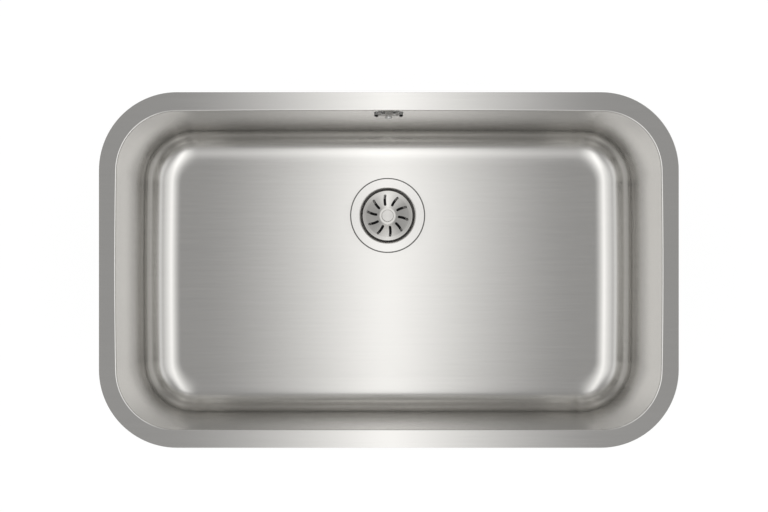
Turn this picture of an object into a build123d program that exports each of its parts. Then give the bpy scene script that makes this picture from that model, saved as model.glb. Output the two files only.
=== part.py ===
from build123d import *
import os
from math import cos, radians, tan

# An undermount kitchen sink with its basket waste and its overflow, in millimetres.
# The origin is the centre of the rim's top face, +X is the right, +Y the rear, +Z up.

# Rim and basin, pressed from one stainless sheet
sheet = 1.2
rim_width = 750.0
rim_length = 460.0
rim_corner = 101.0
side_flange = 21.5  # rim left standing at the left and the right
end_flange = 23.5  # rim left standing at the front, the rear and the corners
side_bow = 3.0  # how far the side walls swell outwards at their middle
rear_bow = 2.3
opening_edge = 2.2  # rounding where the rim turns down into the walls
bowl_depth = 200.0
wall_draft = 2.0  # degrees
floor_bend = 46.0  # rounding between the walls and the floor
floor_fall = 0.7  # degrees, down towards the waste

# Waste: a stainless flange and cup above the floor, a moulded body below it
waste_setback = 124.9  # from the rear edge of the opening to the waste's axis
flange_diameter = 107.0
flange_overlap = 8.5  # how far the flange reaches past the sink's hole
flange_sheet = 1.0
flange_gap = 1.2  # between the flange and the side of its recess
flange_seal_thickness = 1.5
flange_seal_inset = 1.0
recess_edge = 1.0
cup_gap = 4.8  # between the sink's hole and the cup's mouth
cup_taper = 3.0
cup_depth = 32.0
cup_mouth_bend = 2.5
cup_base_bend = 6.0
drain_hole = 7.0
drain_hole_count = 8
drain_circle = 17.0
body_gasket_thickness = 3.0
body_gasket_inset = 1.0
body_wall = 3.0
body_rim_thickness = 4.0
body_rim_width = 11.0
body_straight = 50.0  # height of the straight part, above the funnel
funnel_height = 22.0
outlet_diameter = 47.8
outlet_bore = 40.0
outlet_length = 36.0
thread_gap = 0.05  # radial gap at each threaded fit

# Clamp screw and nut at the waste's centre
clamp_shank = 6.0
clamp_washer = 18.0
clamp_washer_thickness = 1.5
clamp_hole_gap = 0.2
post_diameter = 8.0
post_height = 16.5
post_lead = 1.0
driver_slot_width = 1.2
driver_slot_depth = 1.5
hub_diameter = 16.0
hub_height = 18.0
hub_gap = 4.0  # between the cup's base and the hub
rib_thickness = 3.0
rib_inset = 2.0
nut_width = 10.0
nut_thickness = 5.0
nut_gap = 0.1
clamp_tail = 2.5  # length of screw that shows below the nut

# Basket strainer, which lifts out
basket_sheet = 0.8
basket_gap = 3.1  # between the cup's mouth and the basket's lip
lip_bend = 1.0
lip_turn = 2.5
lip_width = 5.5
lip_slope = 1.2
lip_drop = 4.0
dish_bend = 6.0
hub_radius = 12.0
hub_bend = 6.0
hub_drop = 11.0
slot_count = 10
slot_width = 3.8
slot_inner = 17.0
slot_margin = 2.0  # from the slots' outer ends to the lip
slot_sweep = 5.0  # degrees
slot_start = 30.0  # degrees
stud_diameter = 6.0
stud_reach = 4.0  # above the basket's hub, into the knob
stud_hole_gap = 0.1
stem_diameter = 13.0
stem_running_gap = 0.08
stem_flange = 26.0
stem_flange_thickness = 1.5
stem_bead = 1.5
stem_bead_height = 1.0
post_head_room = 1.0
grip_lift = 3.0  # above the plug
grip_width = 2.5
grip_depth = 1.1
grip_running_gap = 0.05
plug_cover = 2.0  # from the drain holes to the plug's lip
plug_lip = 3.5
plug_lip_height = 2.6
plug_disc = 2.4
plug_seat_gap = 0.3
knob_diameter = 17.6
knob_thickness = 3.0
knob_edge = 0.8
knob_neck = 10.0
knob_neck_height = 3.0

# Overflow window, its cover and the moulded box behind the wall
window_width = 38.0
window_height = 42.0
window_corner = 6.0
window_drop = 8.0  # from the rim's top face to the window
cover_sheet = 1.2
cover_width = 28.0
cover_overlap = 3.0  # how far the cover's ends reach past the window
cover_rise = 4.0
cover_tab = 10.0
cover_shoulder = 7.0
cover_notch = 4.5
cover_notch_depth = 4.0
cover_screw = 5.0
cover_screw_gap = 0.25
cover_screw_head = 9.0
cover_screw_head_height = 2.2
cover_screw_head_edge = 1.2
cover_screw_reach = 6.0  # past the front of the box
cross_length = 5.0
cross_width = 1.0
cross_depth = 1.0
overflow_gasket_thickness = 2.0
overflow_gasket_relief = 0.5
overflow_lip = 4.5
overflow_lip_thickness = 2.5
overflow_wall = 2.0
boss_diameter = 9.0
boss_lead = 1.0  # how far the boss stands into the gasket

# Overflow pipe, pushed over the box's spigot and held by a union nut at the waste
pipe_diameter = 20.0
pipe_wall = 2.0
pipe_wall_gap = 1.5  # between the pipe and the rear wall
pipe_bend = 32.0
pipe_end_gap = 1.0  # between the box's lip and the pipe
spigot_gap = 0.1
spigot_length = 24.0
spigot_wall = 2.4
ring_groove_depth = 1.2
ring_width = 2.2
ring_side_gap = 0.1
inlet_drop = 30.0  # from the floor to the inlet's axis
inlet_diameter = 30.0
inlet_length = 24.0
inlet_stop = 9.0
inlet_gap = 0.2
washer_thickness = 5.0
washer_wall = 4.0
union_nut_diameter = 38.0
union_nut_grip = 14.0
union_nut_end = 3.0
flute_count = 12
flute_diameter = 4.0

# Sound-deadening pads under the floor
pad_thickness = 2.0
pad_corner = 20.0
pad_margin = 12.0  # from the pads to the floor's rounding, the waste and each other

# Sizes that follow from those above
opening_width = rim_width - 2 * side_flange
opening_length = rim_length - 2 * end_flange
opening_corner = rim_corner - end_flange
floor_level = -bowl_depth
draft_slope = tan(radians(wall_draft))
fall_slope = tan(radians(floor_fall))
waste_y = opening_length / 2 - waste_setback
waste_hole = flange_diameter - 2 * flange_overlap
cup_mouth = waste_hole - 2 * cup_gap
cup_base = cup_mouth - 2 * cup_taper
recess_depth = flange_sheet + flange_seal_thickness
recess_radius = flange_diameter / 2 + flange_gap
floor_half_x = opening_width / 2 - bowl_depth * draft_slope - floor_bend
floor_half_y = opening_length / 2 - bowl_depth * draft_slope - floor_bend
at_waste = Pos(0, waste_y, floor_level)

body_top = -recess_depth - sheet - body_gasket_thickness
body_bore = waste_hole / 2
body_shoulder = body_top - body_straight
outlet_top = body_shoulder - funnel_height
outlet_end = outlet_top - outlet_length
hub_top = -cup_depth - flange_sheet - hub_gap
hub_end = hub_top - hub_height

basket_lip = cup_mouth / 2 - basket_gap
dish_edge = basket_lip - lip_width
slot_outer = dish_edge - slot_margin
plug_radius = drain_circle + drain_hole / 2 + plug_cover + plug_lip
seat_level = -cup_depth + plug_seat_gap
plug_top = seat_level + plug_lip_height + plug_disc
basket_under = -hub_drop - basket_sheet
post_top = -cup_depth + post_height

window_middle = window_drop + window_height / 2
wall_plane = Plane(
    origin=(0, opening_length / 2 - window_middle * draft_slope, -window_middle),
    x_dir=(1, 0, 0),
    z_dir=(0, 1, -draft_slope),
)
wall_back = sheet * cos(radians(wall_draft))
box_front = wall_back + overflow_gasket_thickness
pipe_axis = wall_back + pipe_wall_gap + pipe_diameter / 2
box_back = pipe_axis + pipe_diameter / 2
box_end = window_height / 2 + overflow_wall
pipe_start = window_height / 2 + overflow_lip + pipe_end_gap
spigot_radius = pipe_diameter / 2 - pipe_wall - spigot_gap
inlet_level = floor_level - inlet_drop
inlet_end = body_bore + body_wall + inlet_length


def rod(radius, length, start=(0, 0, 0), along=(0, 0, 1)):
    """A round bar that starts at a point and runs along a direction."""
    bar = Cylinder(radius, length, align=(Align.CENTER, Align.CENTER, Align.MIN))
    return Plane(origin=start, z_dir=along) * bar


def ring(inner, outer, low, high):
    """A flat ring or a sleeve about Z, between two heights."""
    height = high - low
    return rod(outer, height, (0, 0, low)) - rod(inner, height, (0, 0, low))


def turned(*points):
    """A solid turned about Z from its section's corners, each a radius and a height."""
    section = make_face(Polyline(*points, close=True))
    return revolve(Plane.XZ * section, Axis.Z)


def pressed(points, bends, thickness):
    """A pressed round part: its upper line, rounded at each bend and given thickness."""
    upper = FilletPolyline(*points, radius=bends)
    band = offset(upper, amount=thickness, side=Side.LEFT)
    return revolve(Plane.XZ * make_face(band.edges()), Axis.Z)


def wall_block(width, height, corner, low, high):
    """A rounded block square to the rear wall, between two distances from its face."""
    outline = RectangleRounded(width, height, corner)
    return Pos(0, 0, low) * extrude(outline, amount=high - low)


def opening_face(grow):
    """The basin's outline at the rim, grown outwards: bowed sides and rear, flat front."""
    half_x = opening_width / 2
    half_y = opening_length / 2
    side_radius = (half_y**2 + side_bow**2) / (2 * side_bow)
    rear_radius = (half_x**2 + rear_bow**2) / (2 * rear_bow)
    right = Pos(half_x - side_radius, 0) * Circle(side_radius + grow)
    left = Pos(side_radius - half_x, 0) * Circle(side_radius + grow)
    rear = Pos(0, half_y - rear_radius) * Circle(rear_radius + grow)
    front = Rectangle(2 * opening_width, opening_length + 2 * grow)
    outline = right & left & rear & front
    return fillet(outline.vertices(), opening_corner + grow)


def ground_below(level_drop):
    """All that lies below the floor, which falls as a flat cone towards the waste."""
    reach = rim_width + rim_length
    apex = floor_level - recess_radius * fall_slope - level_drop / cos(radians(floor_fall))
    base = apex - bowl_depth
    cone = turned((0, apex), (reach, apex + reach * fall_slope), (reach, base), (0, base))
    return Pos(0, waste_y, 0) * cone


def basin_form(grow):
    """The basin's hollow as a solid, or its outside when grown by the sheet."""
    depth = bowl_depth + floor_bend
    walls = extrude(opening_face(grow), amount=depth, dir=(0, 0, -1), taper=wall_draft)
    basin = walls - ground_below(grow)
    floor = basin.faces().sort_by(Axis.Z)[0]
    wall_foot = floor.edges().filter_by(GeomType.LINE, reverse=True)
    tightest = opening_corner - bowl_depth * draft_slope
    return fillet(wall_foot, min(floor_bend, 0.95 * tightest) + grow)


def sink_bowl():
    """Rim, walls, floor and waste recess, pressed from one sheet."""
    rim = extrude(RectangleRounded(rim_width, rim_length, rim_corner), amount=-sheet)
    recess_step = recess_depth + sheet
    pressed_recess = rod(recess_radius + sheet, recess_step, (0, 0, -recess_step))
    blank = rim + basin_form(sheet) + at_waste * pressed_recess
    rim_underside = blank.faces().filter_by(Axis.Z).sort_by(Axis.Z)[-2]
    blank = fillet(rim_underside.inner_wires()[0].edges(), opening_edge - sheet)
    recess = rod(recess_radius, 2 * recess_depth, (0, 0, -recess_depth))
    bowl = blank - basin_form(0) - at_waste * recess
    rim_top = bowl.faces().filter_by(Axis.Z).sort_by(Axis.Z)[-1]
    bowl = fillet(rim_top.inner_wires()[0].edges(), opening_edge)
    recess_lip = bowl.edges().filter_by(GeomType.CIRCLE).filter_by_position(
        Axis.Z, floor_level - recess_edge / 2, floor_level + recess_edge / 2
    )
    bowl = fillet(recess_lip, recess_edge)
    drain = at_waste * rod(waste_hole / 2, 4 * recess_step, (0, 0, -2 * recess_step))
    window = wall_block(window_width, window_height, window_corner, -2 * sheet, 2 * sheet)
    return bowl - drain - wall_plane * window


def sound_pad(low_x, high_x, low_y, high_y):
    """A rubber pad stuck under the floor, which it follows."""
    size_x = high_x - low_x
    size_y = high_y - low_y
    middle = Pos((low_x + high_x) / 2, (low_y + high_y) / 2, floor_level - bowl_depth / 2)
    block = middle * extrude(RectangleRounded(size_x, size_y, pad_corner), amount=bowl_depth)
    return block & ground_below(sheet) - ground_below(sheet + pad_thickness)


def sound_pads():
    """Pads left and right of the waste, and one in front of it."""
    waste_clear = recess_radius + sheet + pad_margin
    outer_x = floor_half_x - pad_margin
    outer_y = floor_half_y - pad_margin
    front_high = waste_y - waste_clear
    front_x = waste_clear - pad_margin
    return {
        "sound_pad_left": sound_pad(-outer_x, -waste_clear, -outer_y, outer_y),
        "sound_pad_right": sound_pad(waste_clear, outer_x, -outer_y, outer_y),
        "sound_pad_front": sound_pad(-front_x, front_x, -outer_y, front_high),
    }


def waste_flange():
    """Stainless flange, cup and perforated base, flush with the floor."""
    corners = (
        (flange_diameter / 2, 0),
        (cup_mouth / 2, 0),
        (cup_base / 2, -cup_depth),
        (clamp_shank / 2 + clamp_hole_gap, -cup_depth),
    )
    flange = pressed(corners, (cup_mouth_bend, cup_base_bend), flange_sheet)
    hole = rod(drain_hole / 2, 3 * flange_sheet, (0, 0, -cup_depth - 2 * flange_sheet))
    flange -= PolarLocations(drain_circle, drain_hole_count) * hole
    return at_waste * flange


def flange_seal():
    """Rubber ring between the flange and the bottom of its recess."""
    outer = flange_diameter / 2 - flange_seal_inset
    return at_waste * ring(waste_hole / 2, outer, -recess_depth, -flange_sheet)


def body_gasket():
    """Rubber ring between the sink's underside and the waste body."""
    outer = body_bore + body_rim_width - body_gasket_inset
    return at_waste * ring(body_bore, outer, body_top, body_top + body_gasket_thickness)


def waste_body():
    """Moulded body: collar, funnel, outlet, clamp hub on ribs and overflow inlet."""
    outside = turned(
        (0, body_top),
        (body_bore + body_rim_width, body_top),
        (body_bore + body_rim_width, body_top - body_rim_thickness),
        (body_bore + body_wall, body_top - body_rim_thickness),
        (body_bore + body_wall, body_shoulder),
        (outlet_diameter / 2, outlet_top),
        (outlet_diameter / 2, outlet_end),
        (0, outlet_end),
    )
    hollow = turned(
        (0, body_top),
        (body_bore, body_top),
        (body_bore, body_shoulder),
        (outlet_bore / 2, outlet_top),
        (outlet_bore / 2, outlet_end),
        (0, outlet_end),
    )
    inlet = rod(inlet_diameter / 2, inlet_end, (0, 0, -inlet_drop), (0, 1, 0))
    stop = body_bore + body_wall + inlet_stop
    socket = rod(pipe_diameter / 2 + inlet_gap, inlet_end, (0, stop, -inlet_drop), (0, 1, 0))
    passage = rod(pipe_diameter / 2 - pipe_wall, inlet_end, (0, 0, -inlet_drop), (0, 1, 0))
    body = outside + inlet - hollow - socket - passage
    hub = rod(hub_diameter / 2, hub_height, (0, 0, hub_end))
    rib_height = hub_height - 2 * rib_inset
    rib_align = (Align.MIN, Align.CENTER, Align.MIN)
    rib = Box(body_bore + body_wall / 2, rib_thickness, rib_height, align=rib_align)
    spokes = [Rot(0, 0, turn) * Pos(0, 0, hub_end + rib_inset) * rib for turn in (30, 150, 270)]
    pocket_outline = RegularPolygon(nut_width / 2 + nut_gap, 6, major_radius=False)
    nut_pocket = extrude(pocket_outline, amount=nut_thickness)
    screw_hole = rod(clamp_shank / 2 + clamp_hole_gap, hub_height, (0, 0, hub_end))
    body = body + hub + spokes - Pos(0, 0, hub_end) * nut_pocket - screw_hole
    return at_waste * body


def clamp_screw():
    """Screw that pulls the flange down and guides the strainer's stem on its post."""
    head = rod(clamp_washer / 2, clamp_washer_thickness, (0, 0, -cup_depth))
    post = rod(post_diameter / 2, post_height, (0, 0, -cup_depth))
    post = chamfer(post.edges().sort_by(Axis.Z)[-1], post_lead)
    tip = hub_end - clamp_tail
    shank = rod(clamp_shank / 2, -cup_depth - tip, (0, 0, tip))
    slot = Pos(0, 0, post_top) * Box(post_diameter, driver_slot_width, 2 * driver_slot_depth)
    return at_waste * (head + post + shank - slot)


def clamp_nut():
    """Brass nut held in the hub's pocket."""
    nut = extrude(RegularPolygon(nut_width / 2, 6, major_radius=False), amount=nut_thickness)
    nut -= rod(clamp_shank / 2 + thread_gap, nut_thickness)
    return at_waste * Pos(0, 0, hub_end) * nut


def strainer_basket():
    """Dished basket with a turned-down lip and curved slots round its hub."""
    corners = (
        (basket_lip, -lip_drop - lip_turn),
        (basket_lip, -lip_drop),
        (dish_edge, -lip_drop - lip_slope),
        (hub_radius, -hub_drop),
        (stud_diameter / 2 + stud_hole_gap, -hub_drop),
    )
    bends = (lip_bend, dish_bend, hub_bend)
    basket = pressed(corners, bends, basket_sheet)
    middle = (slot_inner + slot_outer) / 2
    run = ThreePointArc(
        (slot_inner, 0),
        (middle * cos(radians(slot_sweep / 3)), -middle * tan(radians(slot_sweep / 3))),
        (slot_outer * cos(radians(slot_sweep)), -slot_outer * tan(radians(slot_sweep))),
    )
    slot = Pos(0, 0, -2 * hub_drop) * extrude(SlotArc(run, slot_width), amount=2 * hub_drop)
    for index in range(slot_count):
        basket -= Rot(0, 0, slot_start + index * 360 / slot_count) * slot
    return at_waste * basket


def basket_knob():
    """Flat knob at the basket's centre."""
    top = -hub_drop + knob_neck_height
    cap = rod(knob_diameter / 2, knob_thickness, (0, 0, top))
    cap = fillet(cap.edges().filter_by(GeomType.CIRCLE).sort_by(Axis.Z)[-1], knob_edge)
    neck = rod(knob_neck / 2, knob_neck_height, (0, 0, -hub_drop))
    hole = rod(stud_diameter / 2 + thread_gap, stud_reach, (0, 0, -hub_drop))
    return at_waste * (cap + neck - hole)


def basket_stem():
    """Sleeve that slides on the clamp screw's post and carries basket and plug."""
    plug_under = seat_level + plug_lip_height
    sleeve = rod(stem_diameter / 2, basket_under - plug_under, (0, 0, plug_under))
    bead = rod(stem_diameter / 2 + stem_bead, stem_bead_height, (0, 0, plug_under - stem_bead_height))
    flange = rod(stem_flange / 2, stem_flange_thickness, (0, 0, plug_top))
    stud = rod(stud_diameter / 2, basket_sheet + stud_reach, (0, 0, basket_under))
    bore_radius = post_diameter / 2 + stem_running_gap
    bore = rod(bore_radius, post_height + post_head_room, (0, 0, -cup_depth))
    groove = rod(post_diameter / 2 + grip_depth, grip_width, (0, 0, plug_top + grip_lift))
    return at_waste * (sleeve + bead + flange + stud - bore - groove)


def stem_grip():
    """Rubber ring in the stem's bore that grips the post."""
    post_radius = post_diameter / 2
    low = plug_top + grip_lift
    high = low + grip_width
    return at_waste * ring(post_radius + grip_running_gap, post_radius + grip_depth, low, high)


def basket_plug():
    """Rubber plug that closes the cup's base round its drain holes."""
    plug_under = seat_level + plug_lip_height
    disc = ring(stem_diameter / 2, plug_radius, plug_under, plug_top)
    lip = ring(plug_radius - plug_lip, plug_radius, seat_level, plug_under)
    return at_waste * (disc + lip)


def overflow_cover():
    """Arched cover: foot below the window, a tab above it and a notch each side."""
    half = window_height / 2 + cover_overlap
    radius = (half**2 + cover_rise**2) / (2 * cover_rise)
    centre = radius - cover_rise
    start = (-cover_width / 2, 0, centre)
    arch = rod(radius, cover_width, start, (1, 0, 0))
    arch -= rod(radius - cover_sheet, cover_width, start, (1, 0, 0))
    arch &= Pos(0, 0, -cover_rise) * Box(cover_width, 2 * half, 2 * cover_rise)
    side = cover_width - cover_tab
    shoulder = Pos(0, -half, 0) * Box(side, 2 * cover_shoulder, 4 * cover_rise)
    notch_reach = 2 * (cover_shoulder + cover_notch_depth)
    notch = Pos(0, -half, 0) * Box(cover_notch, notch_reach, 4 * cover_rise)
    for hand in (-1, 1):
        arch -= Pos(hand * (cover_tab + side) / 2, 0) * shoulder
        arch -= Pos(hand * (cover_tab + cover_notch) / 2, 0) * notch
    arch -= rod(cover_screw / 2 + cover_screw_gap, 2 * cover_rise, (0, 0, -2 * cover_rise))
    return wall_plane * arch


def overflow_screw():
    """Pan-head screw through the cover into the box's boss."""
    front = -cover_rise - cover_screw_head_height
    head = rod(cover_screw_head / 2, cover_screw_head_height, (0, 0, front))
    rounded = head.edges().filter_by(GeomType.CIRCLE).sort_by(Axis.Z)[0]
    head = fillet(rounded, cover_screw_head_edge)
    shank = rod(cover_screw / 2, cover_rise + box_front + cover_screw_reach, (0, 0, -cover_rise))
    bar = Pos(0, 0, front) * Box(cross_length, cross_width, 2 * cross_depth)
    return wall_plane * (head + shank - bar - Rot(0, 0, 90) * bar)


def overflow_gasket():
    """Rubber gasket between the wall and the box."""
    width = window_width + 2 * overflow_lip
    height = window_height + 2 * overflow_lip
    block = wall_block(width, height, window_corner + overflow_lip, wall_back, box_front)
    hole_width = window_width + 2 * overflow_gasket_relief
    hole_height = window_height + 2 * overflow_gasket_relief
    hole = wall_block(hole_width, hole_height, window_corner, wall_back, box_front)
    return wall_plane * (block - hole)


def overflow_box():
    """Moulded box behind the window, with its screw boss and its spigot."""
    lip_width = window_width + 2 * overflow_lip
    lip_height = window_height + 2 * overflow_lip
    lip_back = box_front + overflow_lip_thickness
    lip = wall_block(lip_width, lip_height, window_corner + overflow_lip, box_front, lip_back)
    box_width = window_width + 2 * overflow_wall
    shell = wall_block(box_width, 2 * box_end, window_corner + overflow_wall, box_front, box_back)
    hollow_back = box_back - overflow_wall
    hollow = wall_block(window_width, window_height, window_corner, box_front, hollow_back)
    spigot = rod(spigot_radius, spigot_length, (0, box_end, pipe_axis), (0, 1, 0))
    bore = rod(spigot_radius - spigot_wall, 2 * spigot_length, (0, 0, pipe_axis), (0, 1, 0))
    groove_start = (0, box_end + spigot_length / 2, pipe_axis)
    groove_width = ring_width + 2 * ring_side_gap
    groove = rod(2 * spigot_radius, groove_width, groove_start, (0, 1, 0))
    groove -= rod(spigot_radius - ring_groove_depth, groove_width, groove_start, (0, 1, 0))
    boss_front = box_front - boss_lead
    boss = rod(boss_diameter / 2, hollow_back - boss_front, (0, 0, boss_front))
    screw_hole = rod(cover_screw / 2 + thread_gap, hollow_back - boss_front, (0, 0, boss_front))
    box = lip + shell - hollow + spigot - bore - groove + boss - screw_hole
    return wall_plane * box


def overflow_ring():
    """Rubber ring in the spigot's groove, pressed to the pipe's bore."""
    start = (0, box_end + spigot_length / 2 + ring_side_gap, pipe_axis)
    seal = rod(pipe_diameter / 2 - pipe_wall, ring_width, start, (0, 1, 0))
    seal -= rod(spigot_radius - ring_groove_depth, ring_width, start, (0, 1, 0))
    return wall_plane * seal


def overflow_pipe():
    """Moulded pipe: down the rear wall, round one bend and forward to the waste."""
    top = wall_plane.from_local_coords(Vector(0, pipe_start, pipe_axis))
    down = wall_plane.y_dir
    corner = top + down * ((inlet_level - top.Z) / down.Z)
    end = Vector(0, waste_y + body_bore + body_wall + inlet_stop, inlet_level)
    path = FilletPolyline(top, corner, end, radius=pipe_bend)
    section = Plane(origin=top, z_dir=down)
    outside = sweep(section * Circle(pipe_diameter / 2), path)
    return outside - sweep(section * Circle(pipe_diameter / 2 - pipe_wall), path)


def union_nut():
    """Fluted nut that presses the sealing washer on the pipe."""
    end = inlet_end + washer_thickness
    length = union_nut_grip + washer_thickness + union_nut_end
    start = (0, end + union_nut_end - length, -inlet_drop)
    nut = rod(union_nut_diameter / 2, length, start, (0, 1, 0))
    flute = rod(flute_diameter / 2, length, start, (0, 1, 0))
    for index in range(flute_count):
        turn = Pos(0, 0, -inlet_drop) * Rot(0, index * 360 / flute_count, 0) * Pos(0, 0, inlet_drop)
        nut -= turn * Pos(0, 0, union_nut_diameter / 2) * flute
    nut -= rod(inlet_diameter / 2 + thread_gap, length - union_nut_end, start, (0, 1, 0))
    nut -= rod(pipe_diameter / 2 + inlet_gap, length, start, (0, 1, 0))
    return at_waste * nut


def union_washer():
    """Rubber washer between the inlet's end, the pipe and the nut."""
    start = (0, inlet_end, -inlet_drop)
    washer = rod(pipe_diameter / 2 + washer_wall, washer_thickness, start, (0, 1, 0))
    return at_waste * (washer - rod(pipe_diameter / 2, washer_thickness, start, (0, 1, 0)))


parts = {
    "sink_bowl": sink_bowl(),
    **sound_pads(),
    "waste_flange": waste_flange(),
    "flange_seal": flange_seal(),
    "body_gasket": body_gasket(),
    "waste_body": waste_body(),
    "clamp_screw": clamp_screw(),
    "clamp_nut": clamp_nut(),
    "strainer_basket": strainer_basket(),
    "basket_knob": basket_knob(),
    "basket_stem": basket_stem(),
    "stem_grip": stem_grip(),
    "basket_plug": basket_plug(),
    "overflow_cover": overflow_cover(),
    "overflow_screw": overflow_screw(),
    "overflow_gasket": overflow_gasket(),
    "overflow_box": overflow_box(),
    "overflow_ring": overflow_ring(),
    "overflow_pipe": overflow_pipe(),
    "union_nut": union_nut(),
    "union_washer": union_washer(),
}

os.makedirs("parts", exist_ok=True)
for name, shape in parts.items():
    export_step(shape, f"parts/{name}.step")
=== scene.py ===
import math
import bpy
import numpy as np
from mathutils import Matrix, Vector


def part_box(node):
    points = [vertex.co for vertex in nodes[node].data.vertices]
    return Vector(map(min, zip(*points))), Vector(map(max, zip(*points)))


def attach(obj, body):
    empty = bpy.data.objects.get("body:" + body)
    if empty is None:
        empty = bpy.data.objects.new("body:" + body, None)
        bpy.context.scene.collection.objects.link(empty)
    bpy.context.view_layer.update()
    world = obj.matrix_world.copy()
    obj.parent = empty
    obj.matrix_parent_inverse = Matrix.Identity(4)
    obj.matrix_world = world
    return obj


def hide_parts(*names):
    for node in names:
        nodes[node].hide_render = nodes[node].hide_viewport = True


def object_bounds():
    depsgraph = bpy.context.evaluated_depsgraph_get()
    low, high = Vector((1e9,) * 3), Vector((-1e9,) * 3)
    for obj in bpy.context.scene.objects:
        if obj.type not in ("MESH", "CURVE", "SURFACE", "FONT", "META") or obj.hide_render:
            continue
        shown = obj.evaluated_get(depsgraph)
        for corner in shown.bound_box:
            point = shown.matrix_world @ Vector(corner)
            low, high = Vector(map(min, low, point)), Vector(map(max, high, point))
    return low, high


# The looks of an undermount kitchen sink, in metres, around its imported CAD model.
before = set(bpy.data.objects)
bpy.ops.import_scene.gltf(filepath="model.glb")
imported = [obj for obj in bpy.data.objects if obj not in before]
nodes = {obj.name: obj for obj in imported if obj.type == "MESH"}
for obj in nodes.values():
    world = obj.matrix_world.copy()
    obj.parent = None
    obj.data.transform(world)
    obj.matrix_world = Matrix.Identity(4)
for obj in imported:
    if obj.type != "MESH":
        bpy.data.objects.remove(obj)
cad_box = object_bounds()

X_AXIS = (1.0, 0.0, 0.0)
Y_AXIS = (0.0, 1.0, 0.0)
Z_AXIS = (0.0, 0.0, 1.0)
FLAT = (1.0, 1.0, 0.0)  # takes the height out of a place that is multiplied with it

# Image and camera, which looks straight down at the sink
IMAGE_WIDTH = 768
CAMERA_HEIGHT = 1.450
CAMERA_X = -0.0128
CAMERA_Y = -0.0096
LENS = 52.57
SENSOR = 36.0
CLIP_START = 0.01
FRAMING_X = 5.06  # how far the picture is shifted, in its pixels
FRAMING_Y = 21.4

# The pressed bowl, as in the CAD model
SHEET = 0.0012
RIM_CORNER = 0.101
SIDE_FLANGE = 0.0215
END_FLANGE = 0.0235
SIDE_BOW = 0.0030
REAR_BOW = 0.0023
OPENING_EDGE = 0.0022
BOWL_DEPTH = 0.200
WALL_DRAFT = math.radians(2.0)
FLOOR_BEND = 0.046
FLOOR_FALL = math.radians(0.7)
RECESS_RADIUS = 0.0547
RECESS_DEPTH = 0.0025
RECESS_EDGE = 0.0010
WASTE_HOLE = 0.045
WINDOW_HALF_WIDTH = 0.019
WINDOW_HALF_HEIGHT = 0.021
WINDOW_CORNER = 0.006
WINDOW_MIDDLE = 0.029  # below the rim
RIM_BEVEL = 0.0003
QUARTER = math.pi / 2
EDGE_TURN = QUARTER - WALL_DRAFT  # how far the opening's edge turns from rim to wall

# How finely the bowl's mesh is divided
SIDE_STEPS = 26
CORNER_STEPS = 26
FRONT_STEPS = 60
WING_STEPS = 24  # along the rear wall, on each side of the window
EDGE_STEPS = 8
WALL_STEPS = 9
BEND_STEPS = 26
FLOOR_STEPS = 22
RECESS_STEPS = 5
PATCH_RINGS = 3
PATCH_GROWTH = 1.22  # the window's patch of wall, against the window
CORNER_SHARE = (0.0, 0.25, 0.5, 0.684, 0.763, 0.842, 0.921, 1.0)
BEVEL_SHARES = (0.0, 0.5, 1.0)
RIM_SHARES = (0.33, 0.67)

# Rounds after which places that depend on each other have settled
CORNER_ROUNDS = 20
BEND_ROUNDS = 8
WINDOW_ROUNDS = 4

# Noise in the materials, in cycles a metre, and how far it moves tint and roughness
NOISE_LOW = 0.3  # noise values rarely lie outside these two
NOISE_HIGH = 0.7
NOISE_DETAIL = 3.0
FINE_TINT = 0.02
BRUSH_FINE = (14.0, 1500.0)  # along and across the grooves
BRUSH_BROAD = (5.0, 240.0)
BRUSH_CLOUD = 9.0
BRUSH_TINT = (0.99, 1.01)
BRUSH_STAIN = (0.10, 0.22)  # how much darker the sheet's outside is
BRUSH_BROAD_GLOSS = 0.008
BRUSH_FINE_GLOSS = 0.025
BRUSH_CLOUD_GLOSS = 0.012
TURNED_FINE = 2600.0
TURNED_CLOUD = 70.0
TURNED_TINT = (0.97, 1.02)
TURNED_FINE_GLOSS = 0.02
TURNED_CLOUD_GLOSS = (-0.02, 0.03)
GRAIN_CLOUD = 35.0
GRAIN_TINT = (0.95, 1.03)
GRAIN_FINE_GLOSS = 0.03
GRAIN_CLOUD_GLOSS = 0.04

# Other looks of the materials; heights are measured from the rim
BRUSHED_RELIEF = 0.0000015
TURNED_RELIEF = 0.000004
BOWL_ANISOTROPY = 0.4
GROOVE_DESCENT = -0.5  # how steeply the grooves run down a side wall
OUTSIDE_DULLNESS = 0.14  # added roughness under the sink, where the steel isn't brushed
SEAM_TOP = -0.2006  # where the painted shade in the seam round the flange starts
SEAM_DEPTH = 0.0008
# painted shade in the seam between the waste flange and the bowl's recess
SEAM_PAINTED_SHADE = 0.8
CUP_SHINE_TOP = -0.203  # from here down to the shine's end the waste's cup gets duller
CUP_SHINE_END = -0.208
CUP_DULLNESS = 0.3
COVER_PAINTED_SHADE = 0.6  # painted shade on the upper part of the overflow cover, under the window's top edge
COVER_SHADE_TOP = -0.014  # from here down to the painted shade's end it fades
COVER_SHADE_END = -0.024

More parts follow.
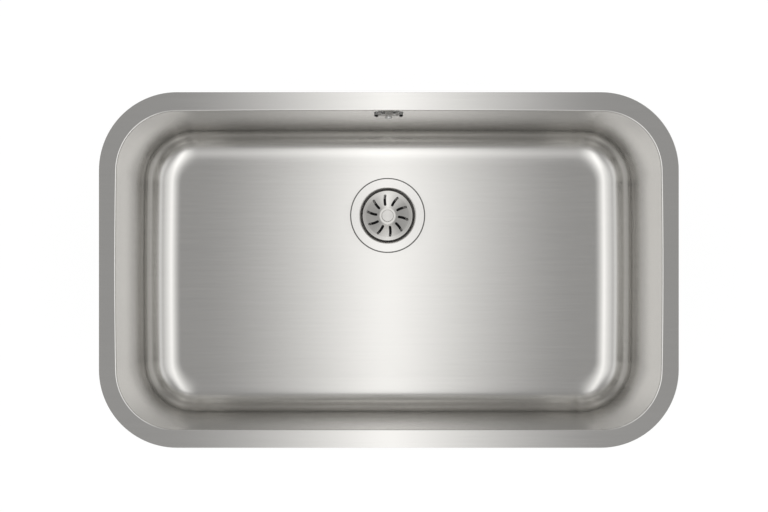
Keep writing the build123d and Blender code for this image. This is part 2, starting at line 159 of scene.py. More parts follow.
# Floor, world and lamp; each stop is the height of a direction and its brightness
FLOOR_SIZE = 12.0
FLOOR_COLOUR = 0.88
FLOOR_SHADE = 0.12  # the part of the seen floor that takes the shadow
FLOOR_GLOW = 0.93
SIDE_STOPS = (
    (0.0, 1.0), (0.10, 1.3), (0.20, 1.8), (0.34, 1.6), (0.48, 0.4),
    (0.66, 1.25), (0.80, 0.6), (0.94, 0.40), (1.0, 0.46),
)
FRONT_STOPS = (
    (0.0, 1.0), (0.26, 1.0), (0.40, 0.4), (0.55, 0.6),
    (0.78, 0.9), (0.93, 0.45), (1.0, 0.43),
)
REAR_STOPS = (
    (0.0, 1.0), (0.26, 1.0), (0.40, 0.27),
    (0.62, 0.45), (0.80, 0.45), (1.0, 0.43),
)
TURN_START = 0.35  # how far toward front or rear a direction starts to see its light
TURN_END = 0.85
STRIP_WIDTH = 0.70
STRIP_LENGTH = 1.6
STRIP_LEVEL = 1.16  # its radiance, where it is brightest
STRIP_FALLOFF = 1.38
STRIP_X = 0.005
STRIP_HEIGHT = 0.42

RIM_HALF_X, RIM_HALF_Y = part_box("sink_bowl")[1].xy
WASTE_LOW, WASTE_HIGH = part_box("waste_flange")
WASTE_Y = (WASTE_LOW.y + WASTE_HIGH.y) / 2
WASTE = (0.0, WASTE_Y)
HALF_X = RIM_HALF_X - SIDE_FLANGE
HALF_Y = RIM_HALF_Y - END_FLANGE
CORNER = RIM_CORNER - END_FLANGE
SLOPE = math.tan(WALL_DRAFT)
SIDE_RADIUS = (HALF_Y**2 + SIDE_BOW**2) / (2 * SIDE_BOW)
REAR_RADIUS = (HALF_X**2 + REAR_BOW**2) / (2 * REAR_BOW)
SIDE_CENTRE = HALF_X - SIDE_RADIUS
REAR_CENTRE = HALF_Y - REAR_RADIUS
BLOCK = 2 * (len(CORNER_SHARE) - 1)  # columns and rows of the window's patch


# ---------------------------------------------------------------- the bowl's mesh

def mirrored(shares):
    """Shares of a half length, repeated on both sides of its middle."""
    return np.array([-s for s in reversed(shares[1:])] + list(shares))


def corner_centres():
    """Centres of the opening's rounded corners: rear x and y, front x and y."""
    rear_x, rear_y = HALF_X - CORNER, HALF_Y - CORNER
    for _ in range(CORNER_ROUNDS):
        rear_x = SIDE_CENTRE + math.sqrt((SIDE_RADIUS - CORNER) ** 2 - rear_y**2)
        rear_y = REAR_CENTRE + math.sqrt((REAR_RADIUS - CORNER) ** 2 - rear_x**2)
    front_y = CORNER - HALF_Y
    front_x = SIDE_CENTRE + math.sqrt((SIDE_RADIUS - CORNER) ** 2 - front_y**2)
    return rear_x, rear_y, front_x, front_y


def arc_points(centre, radius, start, end, shares):
    """Points on an arc and their outward directions, at shares of its angle."""
    angle = start + (end - start) * shares
    outward = np.stack([np.cos(angle), np.sin(angle)], 1)
    return np.array(centre) + radius * outward, outward


def line_points(start, end, outward, shares):
    """Points on a straight stretch, with one outward direction."""
    start, end = np.array(start), np.array(end)
    points = start + (end - start) * shares[:, None]
    return points, np.tile(np.array(outward, float), (len(shares), 1))


def rear_shares(rear_x, rear_right):
    """Shares of the rear wall's arc, with the columns of the window's patch among them."""
    rear_end = rear_x * REAR_RADIUS / (REAR_RADIUS - CORNER)
    patch = PATCH_GROWTH * WINDOW_HALF_WIDTH * mirrored(CORNER_SHARE)
    wing = patch[0] + (-rear_end - patch[0]) * np.arange(1, WING_STEPS) / WING_STEPS
    columns = np.concatenate([[rear_end], -wing[::-1], patch[::-1], wing])
    return (np.arccos(columns / REAR_RADIUS) - rear_right) / (math.pi - 2 * rear_right)


def outlines():
    """Points and outward directions of the opening and the rim, counter-clockwise."""
    pi = math.pi
    rear_x, rear_y, front_x, front_y = corner_centres()
    side_low = math.atan2(front_y, front_x - SIDE_CENTRE)
    side_high = math.atan2(rear_y, rear_x - SIDE_CENTRE)
    rear_right = math.atan2(rear_y - REAR_CENTRE, rear_x)
    side = np.arange(SIDE_STEPS) / SIDE_STEPS
    turn = np.arange(CORNER_STEPS) / CORNER_STEPS
    front = np.arange(FRONT_STEPS) / FRONT_STEPS
    rear = rear_shares(rear_x, rear_right)
    straight_x, straight_y = RIM_HALF_X - RIM_CORNER, RIM_HALF_Y - RIM_CORNER
    opening = [
        arc_points((SIDE_CENTRE, 0), SIDE_RADIUS, side_low, side_high, side),
        arc_points((rear_x, rear_y), CORNER, side_high, rear_right, turn),
        arc_points((0, REAR_CENTRE), REAR_RADIUS, rear_right, pi - rear_right, rear),
        arc_points((-rear_x, rear_y), CORNER, pi - rear_right, pi - side_high, turn),
        arc_points((-SIDE_CENTRE, 0), SIDE_RADIUS, pi - side_high, pi - side_low, side),
        arc_points((-front_x, front_y), CORNER, pi - side_low, 3 * QUARTER, turn),
        line_points((-front_x, -HALF_Y), (front_x, -HALF_Y), (0, -1), front),
        arc_points((front_x, front_y), CORNER, -QUARTER, side_low, turn),
    ]
    rim = [
        line_points((RIM_HALF_X, -straight_y), (RIM_HALF_X, straight_y), (1, 0), side),
        arc_points((straight_x, straight_y), RIM_CORNER, 0, QUARTER, turn),
        line_points((straight_x, RIM_HALF_Y), (-straight_x, RIM_HALF_Y), (0, 1), rear),
        arc_points((-straight_x, straight_y), RIM_CORNER, QUARTER, pi, turn),
        line_points((-RIM_HALF_X, straight_y), (-RIM_HALF_X, -straight_y), (-1, 0), side),
        arc_points((-straight_x, -straight_y), RIM_CORNER, pi, 3 * QUARTER, turn),
        line_points((-straight_x, -RIM_HALF_Y), (straight_x, -RIM_HALF_Y), (0, -1), front),
        arc_points((straight_x, -straight_y), RIM_CORNER, -QUARTER, 0, turn),
    ]
    return [np.concatenate(part) for group in (opening, rim) for part in zip(*group)]


OPENING, OUTWARD, RIM, RIM_OUTWARD = outlines()
COLUMNS = len(OPENING)
WINDOW_START = SIDE_STEPS + CORNER_STEPS + WING_STEPS  # the first column of the patch
UP = np.tile(Z_AXIS, (COLUMNS, 1))
OUT = np.concatenate([OUTWARD, np.zeros((COLUMNS, 1))], 1)
RIM_OUT = np.concatenate([RIM_OUTWARD, np.zeros((COLUMNS, 1))], 1)
WALL_NORMAL = UP * math.sin(WALL_DRAFT) - OUT * math.cos(WALL_DRAFT)


def at_height(points, height):
    """Flat points lifted to a height, which may differ from point to point."""
    return np.concatenate([points, np.broadcast_to(height, (len(points),))[:, None]], 1)


def normalised(vectors):
    """Vectors brought to a length of 1."""
    return vectors / np.linalg.norm(vectors, axis=1)[:, None]


def floor_height(points):
    """Height of the floor's cone above each point."""
    reach = np.hypot(*(points[:, :2] - WASTE).T)
    return -BOWL_DEPTH + math.tan(FLOOR_FALL) * (reach - RECESS_RADIUS)


def floor_normal(points):
    """The floor's upward normal at each point."""
    away = normalised(points[:, :2] - WASTE)
    tilt = math.sin(FLOOR_FALL)
    return np.concatenate([-tilt * away, np.full((len(points), 1), math.cos(FLOOR_FALL))], 1)


# A row is its points and their upward normals, at a sharp edge those before and after it.
# It belongs to the sheet's inner skin, or to the one that lies outside it by grow.

def edge_rows(grow):
    """Rows round the opening's edge, from the rim to the wall."""
    inset = OPENING_EDGE * math.tan(EDGE_TURN / 2)
    centre = at_height(OPENING, -OPENING_EDGE) + OUT * inset
    rows = []
    for share in np.arange(EDGE_STEPS + 1) / EDGE_STEPS:
        angle = share * EDGE_TURN
        normal = UP * math.cos(angle) - OUT * math.sin(angle)
        rows.append((centre + (OPENING_EDGE - grow) * normal, normal))
    return rows


def window_rows(grow):
    """Rows of the wall at the height of the window's patch."""
    top = at_height(OPENING, 0.0)
    half = PATCH_GROWTH * WINDOW_HALF_HEIGHT
    rows = []
    for height in -WINDOW_MIDDLE - half * mirrored(CORNER_SHARE):
        rows.append((top + OUT * (grow + height * SLOPE) + UP * height, WALL_NORMAL))
    return rows


def bend_rows(last, grow):
    """Rows from the last one given, down the wall and round the bend to the floor."""
    centre = at_height(OPENING, -BOWL_DEPTH + FLOOR_BEND)
    for _ in range(BEND_ROUNDS):
        inset = centre[:, 2] * SLOPE - FLOOR_BEND / math.cos(WALL_DRAFT)
        centre[:, :2] = OPENING + OUTWARD * inset[:, None]
        centre[:, 2] = floor_height(centre) + FLOOR_BEND / math.cos(FLOOR_FALL)
    radius = FLOOR_BEND + grow
    foot = centre - radius * WALL_NORMAL
    rows = []
    for share in np.arange(1, WALL_STEPS) / WALL_STEPS:
        rows.append((last + (foot - last) * share, WALL_NORMAL))
    down = -floor_normal(centre)
    turn = np.arccos(np.sum(-WALL_NORMAL * down, 1))[:, None]
    for share in np.arange(BEND_STEPS + 1) / BEND_STEPS:
        spoke = np.sin(turn * (1 - share)) * -WALL_NORMAL + np.sin(turn * share) * down
        spoke = normalised(spoke)
        rows.append((centre + radius * spoke, -spoke))
    return rows


def floor_rows(foot, grow):
    """Rows from the bend's foot to the recess, and each column's way out from the waste."""
    away = normalised(foot - WASTE)
    recess = WASTE + away * (RECESS_RADIUS + max(RECESS_EDGE, grow))
    drop = grow / math.cos(FLOOR_FALL)
    rows = []
    for share in np.arange(1, FLOOR_STEPS + 1) / FLOOR_STEPS:
        flat = foot + (recess - foot) * share
        rows.append((at_height(flat, floor_height(flat) - drop), floor_normal(flat)))
    return rows, at_height(away, 0.0)


def section_rows(grow):
    """Rows of points and upward normals from the rim's edge down to the recess."""
    rows = edge_rows(grow) + window_rows(grow)
    rows += bend_rows(rows[-1][0], grow)
    floor, out = floor_rows(rows[-1][0][:, :2], grow)
    return rows + floor, out


def wall_point(x, z, grow):
    """Point of the rear wall at a width and a height, with its upward normal."""
    radius = REAR_RADIUS + grow + z * SLOPE
    y = REAR_CENTRE + np.sqrt(radius**2 - x**2)
    outward = np.stack([x / radius, np.sqrt(1 - (x / radius) ** 2), np.zeros_like(x)], 1)
    up = np.tile(Z_AXIS, (len(x), 1))
    normal = up * math.sin(WALL_DRAFT) - outward * math.cos(WALL_DRAFT)
    return np.stack([x, y, z], 1), normal


def window_outline(flat_x, flat_y):
    """The window's rounded outline for points of its plain rectangle."""
    inner = np.array([WINDOW_HALF_WIDTH - WINDOW_CORNER, WINDOW_HALF_HEIGHT - WINDOW_CORNER])
    points = np.stack([flat_x, flat_y], 1)
    beyond = np.abs(points) - inner
    in_corner = (beyond > 0).all(1)
    span = beyond / WINDOW_CORNER
    angle = np.where(span[:, 0] > span[:, 1], span[:, 1], 2 - span[:, 0]) * QUARTER / 2
    rounded = inner + WINDOW_CORNER * np.stack([np.cos(angle), np.sin(angle)], 1)
    return np.where(in_corner[:, None], np.sign(points) * rounded, points)


def window_edge(local, grow):
    """Where the window's outline, cut square to the wall, meets one of its skins."""
    across = np.zeros(len(local))
    middle_y = HALF_Y - WINDOW_MIDDLE * SLOPE
    for _ in range(WINDOW_ROUNDS):
        z = -WINDOW_MIDDLE - local[:, 1] * math.cos(WALL_DRAFT) - across * math.sin(WALL_DRAFT)
        y = middle_y - local[:, 1] * math.sin(WALL_DRAFT) + across * math.cos(WALL_DRAFT)
        skin = wall_point(local[:, 0], z, grow)[0]
        across = across + (skin[:, 1] - y)
    return local[:, 0], z


class SheetMesh:
    """Vertices, four-cornered faces and the normals at each face's corners."""

    def __init__(self):
        self.points = []
        self.faces = []
        self.normals = []
        self.outside = []

    def add(self, points):
        """Adds vertices and returns their numbers."""
        first = sum(len(p) for p in self.points)
        self.points.append(points)
        return np.arange(first, first + len(points))

    def band(self, outer, inner, outer_normals, inner_normals, flip, left_out=()):
        """Faces between two rings of vertices, apart from those left out."""
        ahead = np.roll(np.arange(len(outer)), -1)
        faces = np.stack([outer, outer[ahead], inner[ahead], inner], 1)
        corners = (outer_normals, outer_normals[ahead], inner_normals[ahead], inner_normals)
        normals = np.stack(corners, 1)
        if flip:
            faces, normals = faces[:, ::-1], normals[:, ::-1]
        self.faces.append(np.delete(faces, left_out, 0))
        self.normals.append(np.delete(normals, left_out, 0))
        self.outside.append(np.full(len(self.faces[-1]), float(flip)))

    def to_mesh(self, name):
        """The mesh of the vertices that have faces, with each face marked in or outside."""
        used, faces = np.unique(np.concatenate(self.faces), return_inverse=True)
        points = np.concatenate(self.points)[used]
        faces = faces.reshape(-1, 4)
        normals = normalised(np.concatenate(self.normals).reshape(-1, 3))
        mesh = bpy.data.meshes.new(name)
        mesh.from_pydata(points.tolist(), [], faces.tolist())
        mesh.polygons.foreach_set("use_smooth", [True] * len(faces))
        mesh.normals_split_custom_set(normals.tolist())
        outside = mesh.attributes.new("outside", "FLOAT", "FACE")
        outside.data.foreach_set("value", np.concatenate(self.outside))
        return mesh


def rim_rows(opening_row, level, side):
    """Rows from the rim's outer edge to the start of the opening's rounding."""
    rows = []
    edge = at_height(RIM, level)
    for share in BEVEL_SHARES:
        angle = share * QUARTER
        lean = RIM_OUT * math.cos(angle) + UP * side * math.sin(angle)
        inset = RIM_OUT * RIM_BEVEL + UP * side * RIM_BEVEL
        rows.append((edge - inset + lean * RIM_BEVEL, lean * side))
    start = rows[-1][0]
    for share in RIM_SHARES:
        rows.append((start + (opening_row - start) * share, UP))
    return rows


def recess_rows(ridge, out, grow):
    """Rows from the floor's inner edge down the recess's wall to the waste hole."""
    rows = []
    if grow:
        rows.append((ridge, UP, -out))
    else:
        for share in np.arange(RECESS_STEPS + 1) / RECESS_STEPS:
            angle = share * QUARTER
            normal = UP * math.cos(angle) - out * math.sin(angle)
            rows.append((ridge + RECESS_EDGE * (normal - UP), normal))
    bottom = np.array([*WASTE, -BOWL_DEPTH - RECESS_DEPTH - grow])
    rows.append((bottom + out * (RECESS_RADIUS + grow), -out, UP))
    rows.append((bottom + out * WASTE_HOLE, UP))
    return rows


def window_patch(sheet_mesh, grid, first_row, grow, side):
    """Fills the wall round the window and returns the window's ring of vertices."""
    last_row = first_row + BLOCK
    last_column = WINDOW_START + BLOCK
    columns = np.arange(WINDOW_START, last_column + 1)
    down = np.arange(first_row, last_row + 1)
    ring = [(first_row, c) for c in columns[:-1]] + [(r, last_column) for r in down[:-1]]
    ring += [(last_row, c) for c in columns[:0:-1]] + [(r, WINDOW_START) for r in down[:0:-1]]
    border = np.array([grid[r][c] for r, c in ring])
    place = np.concatenate(sheet_mesh.points)[border]
    share_x = place[:, 0] / (PATCH_GROWTH * WINDOW_HALF_WIDTH)
    share_z = (-WINDOW_MIDDLE - place[:, 2]) / (PATCH_GROWTH * WINDOW_HALF_HEIGHT)
    outline = window_outline(share_x * WINDOW_HALF_WIDTH, share_z * WINDOW_HALF_HEIGHT)
    edge_x, edge_z = window_edge(outline, grow)
    outer = border
    outer_normals = wall_point(place[:, 0], place[:, 2], grow)[1]
    for share in np.arange(1, PATCH_RINGS + 1) / PATCH_RINGS:
        x = place[:, 0] + (edge_x - place[:, 0]) * share
        z = place[:, 2] + (edge_z - place[:, 2]) * share
        points, normals = wall_point(x, z, grow)
        inner = sheet_mesh.add(points)
        sheet_mesh.band(outer, inner, outer_normals * side, normals * side, side < 0)
        outer, outer_normals = inner, normals
    return outer, points


def build_basin():
    """The bowl as one closed sheet, with the normals of its exact surfaces."""
    sheet_mesh = SheetMesh()
    ends = []
    for grow, side in ((0.0, 1), (SHEET, -1)):
        section, out = section_rows(grow)
        lead = rim_rows(section[0][0], 0.0 if side > 0 else -SHEET, side)
        rows = lead + section[:-1] + recess_rows(section[-1][0], out, grow)
        grid = [sheet_mesh.add(row[0]) for row in rows]
        first_row = len(lead) + EDGE_STEPS + 1
        patch_rows = range(first_row, first_row + BLOCK)
        patch_columns = np.arange(WINDOW_START, WINDOW_START + BLOCK)
        for index in range(len(rows) - 1):
            after, before = rows[index][-1] * side, rows[index + 1][1] * side
            left_out = patch_columns if index in patch_rows else ()
            sheet_mesh.band(grid[index], grid[index + 1], after, before, side < 0, left_out)
        window = window_patch(sheet_mesh, grid, first_row, grow, side)
        ends.append((grid[0], grid[-1], *window))
    (top, top_hole, front_ring, front), (under, under_hole, back_ring, _back) = ends
    sheet_mesh.band(under, top, RIM_OUT, RIM_OUT, False)
    sheet_mesh.band(top_hole, under_hole, -out, -out, False)
    along = np.roll(front, -1, 0) - np.roll(front, 1, 0)
    facing = normalised(np.cross(along, Y_AXIS))
    sheet_mesh.band(front_ring, back_ring, facing, facing, False)
    return sheet_mesh.to_mesh("basin")


basin = bpy.data.objects.new("basin", build_basin())
bpy.context.scene.collection.objects.link(basin)
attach(basin, "sink")
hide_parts("sink_bowl")


# ---------------------------------------------------------------- shader nodes

def add(tree, kind, inputs=None, **settings):
    """A shader node with its settings and its inputs, which are values or sockets."""
    made = tree.nodes.new(kind)
    for name, value in settings.items():
        setattr(made, name, value)
    for name, value in (inputs or {}).items():
        if isinstance(value, bpy.types.NodeSocket):
            tree.links.new(value, made.inputs[name])
        else:
            made.inputs[name].default_value = value
    return made


def vector_math(tree, operation, *values):
    """The result of a calculation with vectors."""
    made = add(tree, "ShaderNodeVectorMath", dict(enumerate(values)), operation=operation)
    return made.outputs["Value" if operation in ("LENGTH", "DOT_PRODUCT") else "Vector"]


def number_math(tree, operation, *values):
    """The result of a calculation with numbers."""
    return add(tree, "ShaderNodeMath", dict(enumerate(values)), operation=operation).outputs[0]


def total(tree, first, *others):
    """The sum of several values."""
    for other in others:
        first = number_math(tree, "ADD", first, other)
    return first


def height_of(tree, place):
    """How high a place or a direction is."""
    return vector_math(tree, "DOT_PRODUCT", place, Z_AXIS)


def noise(tree, place, scale):
    """A noise value for a place that is first stretched by the scale."""
    place = vector_math(tree, "MULTIPLY", place, scale)
    inputs = {"Vector": place, "Scale": 1.0, "Detail": NOISE_DETAIL}
    return add(tree, "ShaderNodeTexNoise", inputs).outputs["Fac"]


def spread(tree, value, low, high):
    """The middle part of a noise value, spread from low to high."""
    limits = {
        "Value": value, "From Min": NOISE_LOW, "From Max": NOISE_HIGH,
        "To Min": low, "To Max": high,
    }
    return add(tree, "ShaderNodeMapRange", limits).outputs["Result"]


def mixed(tree, share, first, second, blend="MIX"):
    """Two colours mixed; the sockets of a colour mix are numbers 0, 6 and 7."""
    mix = tree.nodes.new("ShaderNodeMix")
    mix.data_type = "RGBA"
    mix.blend_type = blend
    for index, value in ((0, share), (6, first), (7, second)):
        if isinstance(value, bpy.types.NodeSocket):
            tree.links.new(value, mix.inputs[index])
        else:
            mix.inputs[index].default_value = value
    return mix.outputs[2]


def tinted(tree, colour, strength):
    """A colour made lighter or darker by a value near 1."""
    return mixed(tree, 1.0, (*colour, 1.0), strength, "MULTIPLY")


def new_material(name):
    """An empty material with its tree, its surface shader and its own coordinates."""
    material = bpy.data.materials.new(name)
    material.use_nodes = True
    tree = material.node_tree
    shader = tree.nodes["Principled BSDF"]
    place = add(tree, "ShaderNodeTexCoord").outputs["Object"]
    return material, tree, shader, place


def by_height(tree, place, start, end, most):
    """A value that rises from 0 at one height to its most at another."""
    height = height_of(tree, place)
    limits = {"Value": height, "From Min": start, "From Max": end, "To Max": most}
    return add(tree, "ShaderNodeMapRange", limits).outputs["Result"]


def run_across(tree, shader, normal, groove):
    """Sets the shader's tangent across the grooves of the surface."""
    across = vector_math(tree, "CROSS_PRODUCT", normal, groove)
    tree.links.new(vector_math(tree, "NORMALIZE", across), shader.inputs["Tangent"])


def connect(tree, shader, colour, roughness, height, bump_distance):
    """Links colour, roughness and a fine relief to the surface shader."""
    tree.links.new(colour, shader.inputs["Base Color"])
    tree.links.new(roughness, shader.inputs["Roughness"])
    bump = add(tree, "ShaderNodeBump", {"Height": height, "Distance": bump_distance})
    tree.links.new(bump.outputs["Normal"], shader.inputs["Normal"])


# ---------------------------------------------------------------- materials

def streaks(tree, place, steepness, along, across):
    """Streaks along the grooves, which turn from X to down on the side walls."""
    flat = noise(tree, place, (along, across, across))
    side = noise(tree, place, (along, across, along))
    limits = {"Factor": steepness, "A": flat, "B": side}
    return add(tree, "ShaderNodeMix", limits).outputs["Result"]


def steel_painted_shade(tree, place, outside, cover_shade):
    """The share of light taken off by painted shade in the flange's seam, and on the overflow
    cover's upper part when asked.
    """
    # painted shade in the seam round the flange, on the bowl's inside only
    seam = by_height(tree, place, SEAM_TOP, SEAM_TOP - SEAM_DEPTH, SEAM_PAINTED_SHADE)
    inside = number_math(tree, "SUBTRACT", 1.0, outside)
    painted_shade = number_math(tree, "MULTIPLY", seam, inside)
    if cover_shade:
        # painted shade on the overflow cover's upper part
        stain_and_shade = by_height(tree, place, COVER_SHADE_END, COVER_SHADE_TOP, COVER_PAINTED_SHADE)
        painted_shade = number_math(tree, "MAXIMUM", painted_shade, stain_and_shade)
    return painted_shade


def brushed_steel(name, colour, roughness, cover_shade=False):
    """Steel with straight grooves, which run down the side walls and else along X."""
    material, tree, shader, place = new_material(name)
    normal = add(tree, "ShaderNodeNewGeometry").outputs["Normal"]
    sideways = vector_math(tree, "DOT_PRODUCT", normal, X_AXIS)
    steepness = number_math(tree, "ABSOLUTE", sideways)
    signed_square = number_math(tree, "MULTIPLY", sideways, steepness)
    descent = number_math(tree, "MULTIPLY", signed_square, GROOVE_DESCENT)
    groove = add(tree, "ShaderNodeCombineXYZ", {"X": 1.0, "Z": descent}).outputs[0]
    run_across(tree, shader, normal, groove)
    fine = streaks(tree, place, steepness, *BRUSH_FINE)
    broad = streaks(tree, place, steepness, *BRUSH_BROAD)
    cloud = noise(tree, place, (BRUSH_CLOUD,) * 3)
    outside = add(tree, "ShaderNodeAttribute", attribute_name="outside").outputs["Fac"]
    stain_and_shade = number_math(tree, "MULTIPLY", spread(tree, cloud, *BRUSH_STAIN), outside)
    tint = total(tree, spread(tree, fine, -FINE_TINT, FINE_TINT), spread(tree, broad, *BRUSH_TINT))
    tint = number_math(tree, "SUBTRACT", tint, stain_and_shade)
    # the painted shade of the seam and the cover darkens the tint; the outside's cloudy stain is
    # the sheet's own
    unshaded = number_math(tree, "SUBTRACT", 1.0, steel_painted_shade(tree, place, outside, cover_shade))
    tint = number_math(tree, "MULTIPLY", tint, unshaded)
    gloss = total(
        tree,
        spread(tree, broad, roughness - BRUSH_BROAD_GLOSS, roughness + BRUSH_BROAD_GLOSS),
        spread(tree, fine, -BRUSH_FINE_GLOSS, BRUSH_FINE_GLOSS),
        spread(tree, cloud, -BRUSH_CLOUD_GLOSS, BRUSH_CLOUD_GLOSS),
        number_math(tree, "MULTIPLY", outside, OUTSIDE_DULLNESS),
    )
    connect(tree, shader, tinted(tree, colour, tint), gloss, fine, BRUSHED_RELIEF)
    shader.inputs["Metallic"].default_value = 1.0
    shader.inputs["Anisotropic"].default_value = BOWL_ANISOTROPY
    return material


def turned_steel(name, colour, roughness, anisotropy, dull_cup=False):
    """Steel with fine circular grooves about the waste's axis."""
    material, tree, shader, place = new_material(name)
    normal = add(tree, "ShaderNodeNewGeometry").outputs["Normal"]
    from_axis = vector_math(tree, "SUBTRACT", place, (*WASTE, 0.0))
    from_axis = vector_math(tree, "MULTIPLY", from_axis, FLAT)
    run_across(tree, shader, normal, vector_math(tree, "CROSS_PRODUCT", Z_AXIS, from_axis))
    section = {"X": vector_math(tree, "LENGTH", from_axis), "Y": height_of(tree, place)}
    section = add(tree, "ShaderNodeCombineXYZ", section).outputs[0]
    fine = noise(tree, section, (TURNED_FINE, TURNED_FINE, 1.0))
    cloud = noise(tree, place, (TURNED_CLOUD,) * 3)
    tint = total(tree, spread(tree, fine, -FINE_TINT, FINE_TINT), spread(tree, cloud, *TURNED_TINT))
    least, most = TURNED_CLOUD_GLOSS
    gloss = total(
        tree,
        spread(tree, fine, -TURNED_FINE_GLOSS, TURNED_FINE_GLOSS),
        spread(tree, cloud, roughness + least, roughness + most),
    )
    if dull_cup:
        dullness = by_height(tree, place, CUP_SHINE_TOP, CUP_SHINE_END, CUP_DULLNESS)
        gloss = number_math(tree, "ADD", gloss, dullness)
    connect(tree, shader, tinted(tree, colour, tint), gloss, fine, TURNED_RELIEF)
    shader.inputs["Metallic"].default_value = 1.0
    shader.inputs["Anisotropic"].default_value = anisotropy
    return material


def grainy(name, colour, roughness, grain, relief, metallic=0.0):
    """Moulded plastic, rubber or plain machined metal with a fine grain."""
    material, tree, shader, place = new_material(name)
    fine = noise(tree, place, (grain,) * 3)
    cloud = noise(tree, place, (GRAIN_CLOUD,) * 3)
    tint = total(tree, spread(tree, fine, -FINE_TINT, FINE_TINT), spread(tree, cloud, *GRAIN_TINT))
    gloss = total(
        tree,
        spread(tree, fine, -GRAIN_FINE_GLOSS, GRAIN_FINE_GLOSS),
        spread(tree, cloud, roughness - GRAIN_CLOUD_GLOSS, roughness + GRAIN_CLOUD_GLOSS),
    )
    connect(tree, shader, tinted(tree, colour, tint), gloss, fine, relief)
    shader.inputs["Metallic"].default_value = metallic
    return material


# Colour and roughness, then the anisotropy of turned steel, or grain and relief
slot_materials = {
    "bowl_steel": brushed_steel("bowl_steel", (0.62, 0.61, 0.59), 0.20),
    # cover_steel carries painted shade on its upper part
    "cover_steel": brushed_steel("cover_steel", (0.66, 0.65, 0.63), 0.26, cover_shade=True),
    "fitting_steel": turned_steel("fitting_steel", (0.66, 0.65, 0.63), 0.24, 0.5, dull_cup=True),
    "basket_steel": turned_steel("basket_steel", (0.50, 0.49, 0.47), 0.16, 0.6),
    "knob_steel": turned_steel("knob_steel", (0.56, 0.55, 0.53), 0.30, 0.3),
    "screw_steel": grainy("screw_steel", (0.58, 0.58, 0.57), 0.28, 1800.0, 0.00001, metallic=1.0),
    "brass": grainy("brass", (0.74, 0.57, 0.28), 0.32, 1500.0, 0.00001, metallic=1.0),
    "white_plastic": grainy("white_plastic", (0.80, 0.80, 0.78), 0.42, 900.0, 0.00002),
    "grey_plastic": grainy("grey_plastic", (0.30, 0.31, 0.32), 0.45, 900.0, 0.00002),
    "black_rubber": grainy("black_rubber", (0.035, 0.035, 0.037), 0.62, 700.0, 0.00003),
    "pad_rubber": grainy("pad_rubber", (0.12, 0.12, 0.125), 0.75, 500.0, 0.00006),
}
# Pieces that look different from the others of their slot
own_materials = {
    "overflow_cover": "cover_steel",
    "strainer_basket": "basket_steel",
    "basket_knob": "knob_steel",
}
for name, piece in nodes.items():
    slot = own_materials.get(name, piece.data.materials[0].name.split(".")[0])
    piece.data.materials[0] = slot_materials[slot]
basin.data.materials.append(slot_materials["bowl_steel"])


# ---------------------------------------------------------------- floor and light

def build_floor():
    """A plain pale floor that shows as white and keeps the sink's shadow."""
    half = FLOOR_SIZE / 2
    level = cad_box[0][2]
    corners = [(x * half, y * half, level) for x, y in ((-1, -1), (1, -1), (1, 1), (-1, 1))]
    mesh = bpy.data.meshes.new("floor")
    mesh.from_pydata(corners, [], [(0, 1, 2, 3)])
    floor = bpy.data.objects.new("floor", mesh)
    bpy.context.scene.collection.objects.link(floor)
    material = bpy.data.materials.new("floor")
    material.use_nodes = True
    tree = material.node_tree
    tree.nodes.clear()
    path = add(tree, "ShaderNodeLightPath").outputs
    seen = number_math(tree, "MAXIMUM", path["Is Camera Ray"], path["Is Glossy Ray"])
    seen = number_math(tree, "MAXIMUM", seen, path["Is Transmission Ray"])
    paleness = {"Value": seen, "To Min": FLOOR_COLOUR, "To Max": FLOOR_SHADE}
    paleness = add(tree, "ShaderNodeMapRange", paleness).outputs["Result"]
    matt = add(tree, "ShaderNodeBsdfDiffuse", {"Color": paleness})
    glow = number_math(tree, "MULTIPLY", seen, FLOOR_GLOW)
    white = add(tree, "ShaderNodeEmission", {"Strength": glow})
    both = add(tree, "ShaderNodeAddShader", {0: matt.outputs[0], 1: white.outputs[0]})
    add(tree, "ShaderNodeOutputMaterial", {"Surface": both.outputs[0]})
    mesh.materials.append(material)


def level_ramp(tree, height, stops):
    """Brightness by the height of a direction, from the horizon to the zenith."""
    ramp = add(tree, "ShaderNodeValToRGB", {"Fac": height})
    ramp.color_ramp.interpolation = "B_SPLINE"
    for _ in range(len(stops) - 2):
        ramp.color_ramp.elements.new(0.5)
    for element, (position, level) in zip(ramp.color_ramp.elements, stops):
        element.position = position
        element.color = (level, level, level, 1.0)
    return ramp.outputs["Color"]


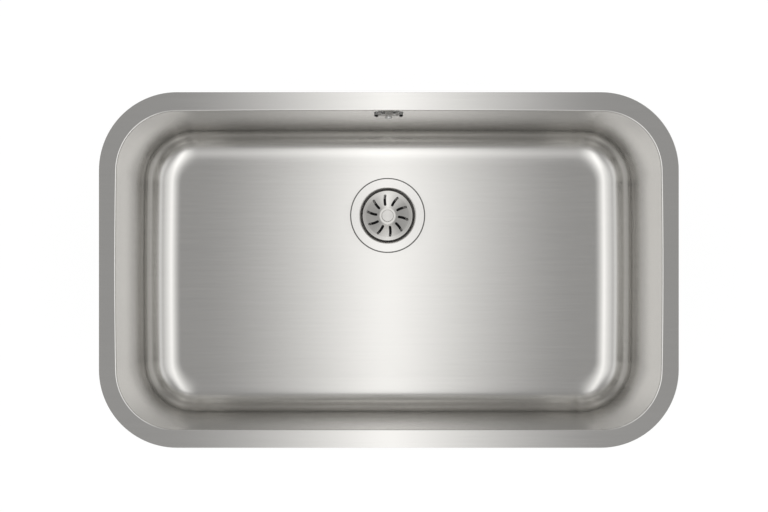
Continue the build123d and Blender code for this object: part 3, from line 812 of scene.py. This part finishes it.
def build_world():
    """A studio with bright sides, a softer front, a dim rear and a grey ceiling."""
    world = bpy.data.worlds.new("studio")
    bpy.context.scene.world = world
    world.use_nodes = True
    tree = world.node_tree
    toward = add(tree, "ShaderNodeTexCoord").outputs["Generated"]
    height = height_of(tree, toward)
    level = vector_math(tree, "NORMALIZE", vector_math(tree, "MULTIPLY", toward, FLAT))
    light = level_ramp(tree, height, SIDE_STOPS)
    for direction, stops in ((-1.0, FRONT_STOPS), (1.0, REAR_STOPS)):
        share = vector_math(tree, "DOT_PRODUCT", level, (0.0, direction, 0.0))
        limits = {"Value": share, "From Min": TURN_START, "From Max": TURN_END}
        share = add(tree, "ShaderNodeMapRange", limits, interpolation_type="SMOOTHSTEP").outputs[0]
        light = mixed(tree, share, light, level_ramp(tree, height, stops))
    tree.links.new(light, tree.nodes["Background"].inputs["Color"])


def build_strip():
    """A long soft lamp over the sink, brightest along its middle line."""
    lamp = bpy.data.lights.new("strip", "AREA")
    lamp.shape = "RECTANGLE"
    lamp.size, lamp.size_y = STRIP_WIDTH, STRIP_LENGTH
    lamp.energy = STRIP_LEVEL * math.pi * STRIP_WIDTH * STRIP_LENGTH
    lamp.use_nodes = True
    tree = lamp.node_tree
    place = add(tree, "ShaderNodeNewGeometry").outputs["Parametric"]
    across = vector_math(tree, "DOT_PRODUCT", place, X_AXIS)
    from_edge = number_math(tree, "PINGPONG", across, 0.5)
    share = number_math(tree, "MULTIPLY", from_edge, 2.0)
    level = number_math(tree, "POWER", share, STRIP_FALLOFF)
    tree.links.new(level, tree.nodes["Emission"].inputs["Strength"])
    holder = bpy.data.objects.new("strip", lamp)
    holder.location = (STRIP_X, 0.0, STRIP_HEIGHT)
    holder.visible_camera = False
    bpy.context.scene.collection.objects.link(holder)


build_floor()
build_world()
build_strip()


# ---------------------------------------------------------------- camera and output

def set_camera():
    """The photo's view, straight down on the sink."""
    lens = bpy.data.cameras.new("camera")
    lens.sensor_width = SENSOR
    lens.lens = LENS
    lens.shift_x = FRAMING_X / IMAGE_WIDTH
    lens.shift_y = FRAMING_Y / IMAGE_WIDTH
    lens.clip_start = CLIP_START
    camera = bpy.data.objects.new("camera", lens)
    camera.location = (CAMERA_X, CAMERA_Y, CAMERA_HEIGHT)
    bpy.context.scene.collection.objects.link(camera)
    bpy.context.scene.camera = camera


set_camera()
bpy.context.scene.view_settings.view_transform = "Standard"
